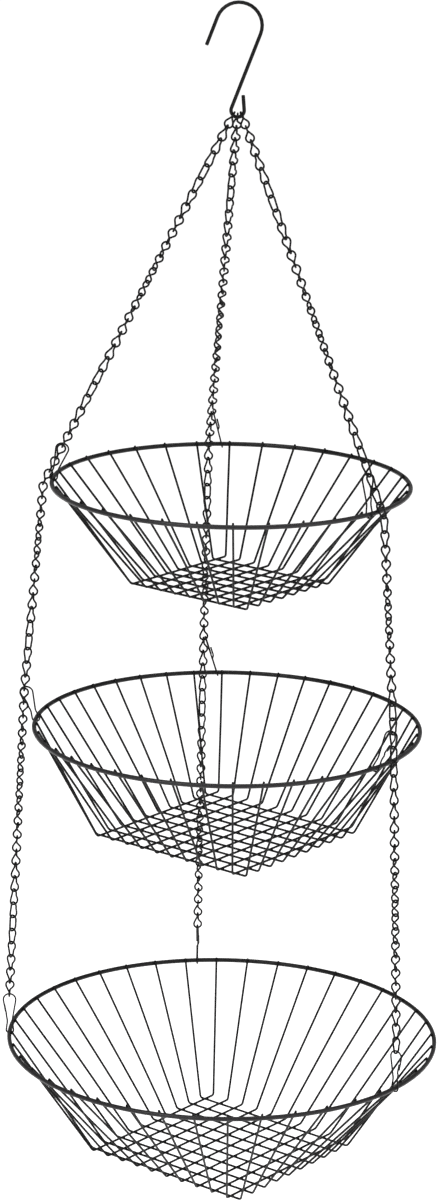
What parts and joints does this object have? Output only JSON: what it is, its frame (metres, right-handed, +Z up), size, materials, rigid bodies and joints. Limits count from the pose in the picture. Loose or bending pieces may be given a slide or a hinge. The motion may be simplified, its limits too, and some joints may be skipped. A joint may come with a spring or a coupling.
{
  "type": "hanging wire produce basket",
  "caption": "Hanging wire produce basket: an S-hook, link chains and a tier of round black wire bowls that widen downwards.",
  "frame": {"origin": "seat of the S-hook: the highest point inside its crook, where the basket hangs", "axes": "+Z up along the line of hanging, +X across the plane of the hook towards its open side's back leg, -Y towards the viewer"},
  "size_m": [0.3085, 0.3066, 0.8169],
  "materials": {
    "hook_wire": "satin black coating on steel wire",
    "chain_wire": "satin black coating on steel wire",
    "clip_wire": "satin black coating on spring wire",
    "rim_wire": "satin black coating on heavy steel wire",
    "bowl_wire": "satin black coating on steel wire"
  },
  "bodies": {
    "hook": {"hook": "hook_wire"},
    "top_tier": {"chain_upper_left": "chain_wire", "chain_upper_back": "chain_wire", "chain_upper_right": "chain_wire", "top_rim": "rim_wire", "top_wires_lower": "bowl_wire", "top_wires_upper": "bowl_wire", "top_clip_left": "clip_wire", "top_clip_back": "clip_wire", "top_clip_right": "clip_wire"},
    "middle_chain_left": {"chain_middle_left": "chain_wire"},
    "middle_chain_back": {"chain_middle_back": "chain_wire"},
    "middle_chain_right": {"chain_middle_right": "chain_wire"},
    "middle_tier": {"middle_rim": "rim_wire", "middle_wires_lower": "bowl_wire", "middle_wires_upper": "bowl_wire", "middle_clip_left": "clip_wire", "middle_clip_back": "clip_wire", "middle_clip_right": "clip_wire"},
    "lower_chain_left": {"chain_lower_left": "chain_wire"},
    "lower_chain_back": {"chain_lower_back": "chain_wire"},
    "lower_chain_right": {"chain_lower_right": "chain_wire"},
    "bottom_tier": {"bottom_rim": "rim_wire", "bottom_wires_lower": "bowl_wire", "bottom_wires_upper": "bowl_wire", "bottom_clip_left": "clip_wire", "bottom_clip_back": "clip_wire", "bottom_clip_right": "clip_wire"}
  },
  "joints": [
    {"name": "rack_swing", "type": "hinge", "parent": "hook", "child": "top_tier", "pos_m": [0, 0, -0.0747], "axis": [1, 0, 0], "range_deg": [-8, 8]},
    {"name": "middle_swing", "type": "hinge", "parent": "top_tier", "child": "middle_chain_left", "pos_m": [-0.1284, -0.00112, -0.32792], "axis": [0, 1, 0], "range_deg": [-4, 4]},
    {"name": "middle_swing_back", "type": "hinge", "parent": "top_tier", "child": "middle_chain_back", "pos_m": [-0.02009, 0.12682, -0.32792], "axis": [0, 1, 0], "range_deg": [-4, 4]},
    {"name": "middle_swing_right", "type": "hinge", "parent": "top_tier", "child": "middle_chain_right", "pos_m": [0.10388, -0.07547, -0.32792], "axis": [0, 1, 0], "range_deg": [-4, 4]},
    {"name": "middle_level", "type": "hinge", "parent": "middle_chain_left", "child": "middle_tier", "pos_m": [-0.14116, -0.00123, -0.47592], "axis": [0, 1, 0], "range_deg": [-4, 4]},
    {"name": "bottom_swing", "type": "hinge", "parent": "middle_tier", "child": "lower_chain_left", "pos_m": [-0.14109, -0.00123, -0.47512], "axis": [0, 1, 0], "range_deg": [-2.5, 2.5]},
    {"name": "bottom_swing_back", "type": "hinge", "parent": "middle_tier", "child": "lower_chain_back", "pos_m": [-0.02207, 0.13936, -0.47512], "axis": [0, 1, 0], "range_deg": [-2.5, 2.5]},
    {"name": "bottom_swing_right", "type": "hinge", "parent": "middle_tier", "child": "lower_chain_right", "pos_m": [0.11415, -0.08294, -0.47512], "axis": [0, 1, 0], "range_deg": [-2.5, 2.5]},
    {"name": "bottom_level", "type": "hinge", "parent": "lower_chain_left", "child": "bottom_tier", "pos_m": [-0.15123, -0.00132, -0.70225], "axis": [0, 1, 0], "range_deg": [-2.5, 2.5]}
  ],
  "couplings": [
    {"joint": "middle_swing_back", "follows": "middle_swing", "ratio": 1},
    {"joint": "middle_swing_right", "follows": "middle_swing", "ratio": 1},
    {"joint": "middle_level", "follows": "middle_swing", "ratio": -0.91},
    {"joint": "bottom_swing_back", "follows": "bottom_swing", "ratio": 1},
    {"joint": "bottom_swing_right", "follows": "bottom_swing", "ratio": 1},
    {"joint": "bottom_level", "follows": "bottom_swing", "ratio": -0.9332}
  ]
}
